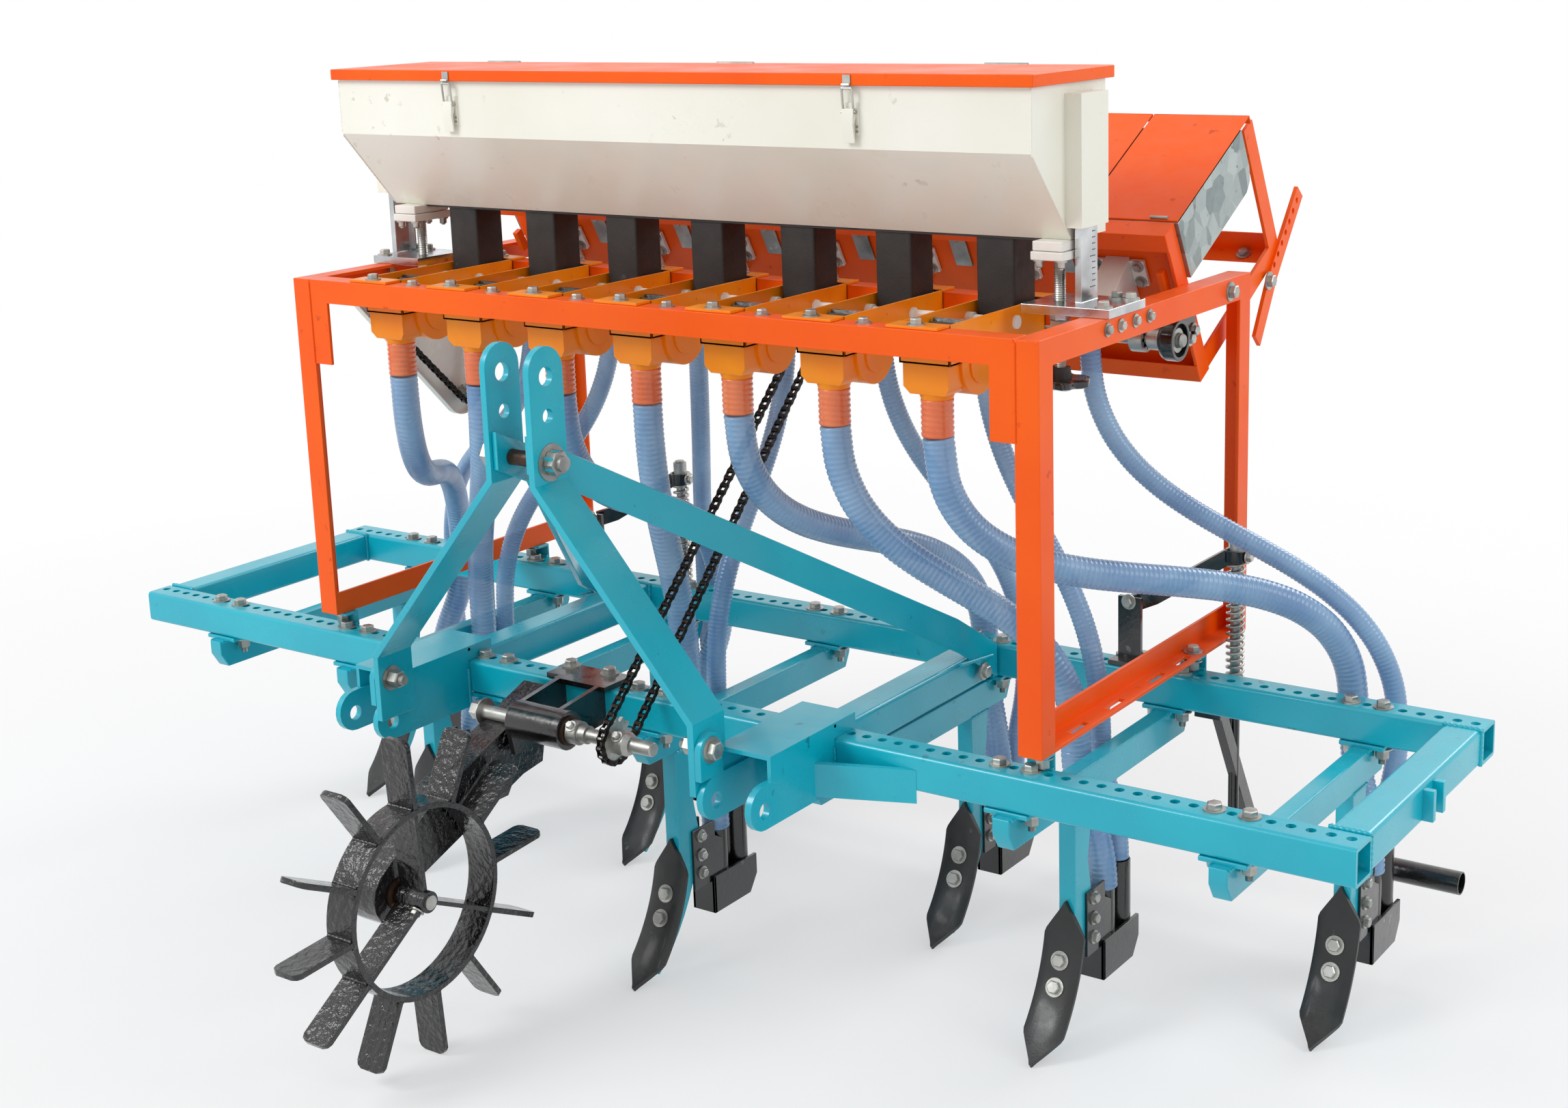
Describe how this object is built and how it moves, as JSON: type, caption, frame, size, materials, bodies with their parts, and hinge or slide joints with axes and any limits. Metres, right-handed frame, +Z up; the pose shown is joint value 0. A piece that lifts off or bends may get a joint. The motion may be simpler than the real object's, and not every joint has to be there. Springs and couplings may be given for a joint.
{
  "type": "seed drill",
  "caption": "Tractor-mounted seed drill: tine frame with a three-point hitch, seed box over metering cups, rear planter box, hoses to furrow openers, lugged ground wheel.",
  "frame": {"origin": "middle of the overall box, on the ground", "axes": "+X to the right along the frame seen from the hitch, +Y to the rear away from the tractor, +Z up"},
  "size_m": [2.13, 1.4652, 1.302],
  "materials": {
    "teal_paint": "gloss",
    "orange_paint": "gloss",
    "cream_paint": "gloss",
    "black_paint": "gloss",
    "black_rubber_plastic": "satin",
    "orange_plastic": "satin",
    "clear_hose": "gloss",
    "zinc_steel": "zinc plated",
    "galvanised_steel": "galvanised"
  },
  "bodies": {
    "frame": {"front_beam": "teal_paint", "rear_beam": "teal_paint", "end_tube_left": "teal_paint", "end_tube_right": "teal_paint", "cross_tube_left": "teal_paint", "cross_tube_right": "teal_paint", "lower_link_left": "teal_paint", "lower_link_right": "teal_paint", "mast_left": "teal_paint", "mast_right": "teal_paint", "brace_left": "teal_paint", "brace_right": "teal_paint", "tine_1": "teal_paint", "tine_2": "teal_paint", "tine_3": "teal_paint", "tine_4": "teal_paint", "tine_5": "teal_paint", "tine_6": "teal_paint", "tine_7": "teal_paint", "stand_left": "orange_paint", "stand_right": "orange_paint", "front_rail": "orange_paint", "middle_rail": "orange_paint", "planter_front": "orange_paint", "planter_side_left": "orange_paint", "planter_side_right": "orange_paint", "planter_rear_rail": "orange_paint", "chain_guard": "cream_paint", "height_guide_left": "zinc_steel", "height_guide_right": "zinc_steel", "seed_cups": "orange_plastic", "planter_hoppers": "galvanised_steel", "drive_chain": "black_paint", "wheel_bracket": "black_paint", "leveller_bar": "black_paint", "leveller_link_left": "black_paint", "leveller_link_right": "black_paint", "seed_hose_1": "clear_hose", "planter_hose_1": "clear_hose", "seed_hose_2": "clear_hose", "planter_hose_2": "clear_hose", "seed_hose_3": "clear_hose", "planter_hose_3": "clear_hose", "seed_hose_4": "clear_hose", "planter_hose_4": "clear_hose", "seed_hose_5": "clear_hose", "planter_hose_5": "clear_hose", "seed_hose_6": "clear_hose", "planter_hose_6": "clear_hose", "seed_hose_7": "clear_hose", "planter_hose_7": "clear_hose"},
    "wheel_arm": {"wheel_arm": "black_paint"},
    "ground_wheel": {"ground_wheel": "black_paint"},
    "drive_shaft": {"drive_shaft": "zinc_steel"},
    "meter_shaft": {"meter_shaft": "zinc_steel"},
    "seed_box": {"seed_box": "cream_paint", "box_outlets": "black_rubber_plastic"},
    "seed_box_lid": {"seed_box_lid": "orange_paint"},
    "planter_lid": {"planter_lids": "orange_paint"}
  },
  "joints": [
    {"name": "wheel_arm_swing", "type": "hinge", "parent": "frame", "child": "wheel_arm", "pos_m": [0, -0.25974, 0.406], "axis": [1, 0, 0], "range_deg": [-20, 0]},
    {"name": "wheel_spin", "type": "hinge", "parent": "wheel_arm", "child": "ground_wheel", "pos_m": [0, -0.50074, 0.232], "axis": [1, 0, 0], "continuous": true},
    {"name": "drive_shaft_spin", "type": "hinge", "parent": "frame", "child": "drive_shaft", "pos_m": [0, -0.25974, 0.406], "axis": [1, 0, 0], "continuous": true},
    {"name": "meter_shaft_spin", "type": "hinge", "parent": "frame", "child": "meter_shaft", "pos_m": [0, 0.26526, 0.925], "axis": [1, 0, 0], "continuous": true},
    {"name": "seed_box_height", "type": "slide", "parent": "frame", "child": "seed_box", "axis": [0, 0, 1], "range_m": [-0.008, 0.03]},
    {"name": "seed_box_lid_hinge", "type": "hinge", "parent": "seed_box", "child": "seed_box_lid", "pos_m": [0, 0.16026, 1.3], "axis": [-1, 0, 0], "range_deg": [0, 100]},
    {"name": "planter_lid_hinge", "type": "hinge", "parent": "frame", "child": "planter_lid", "pos_m": [0, 0.28892, 1.08439], "axis": [1, 0, 0], "range_deg": [0, 60]}
  ],
  "couplings": [
    {"joint": "drive_shaft_spin", "follows": "wheel_spin", "ratio": 1},
    {"joint": "meter_shaft_spin", "follows": "wheel_spin", "ratio": 1.348}
  ]
}
